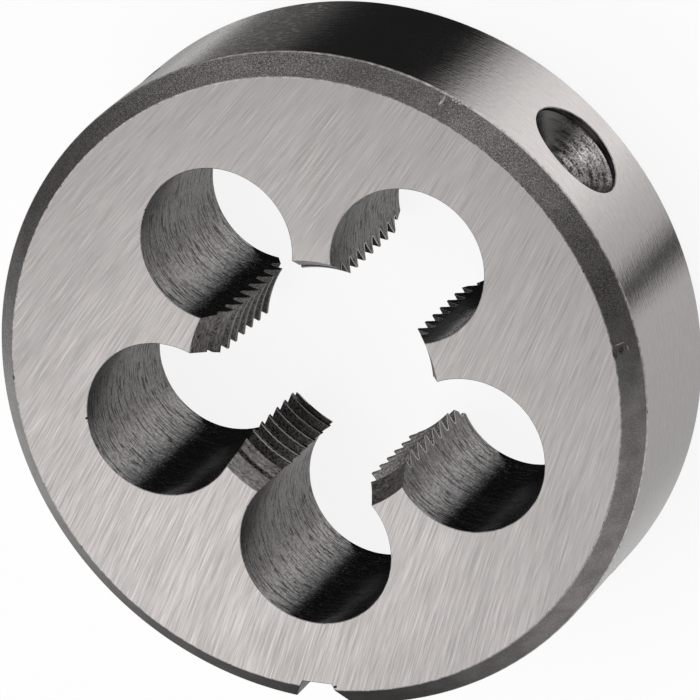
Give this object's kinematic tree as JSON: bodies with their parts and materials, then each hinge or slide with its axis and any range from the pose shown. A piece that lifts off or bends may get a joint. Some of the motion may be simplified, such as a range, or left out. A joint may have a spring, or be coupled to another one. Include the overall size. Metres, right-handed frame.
{
  "type": "round threading die",
  "caption": "Round threading die: steel disc with a toothed bore, clearance holes opening into it, a V notch and cone screw seats in the rim.",
  "frame": {"origin": "centre of the back face, on the thread axis", "axes": "+Z along the thread axis towards the front face, where the rod starts; -Y through the screw notch in the rim"},
  "size_m": [0.055, 0.0549, 0.016],
  "materials": {
    "tool_steel": "ground faces, darker turned rim chamfer"
  },
  "bodies": {
    "root": {"die_body": "tool_steel"}
  },
  "joints": []
}
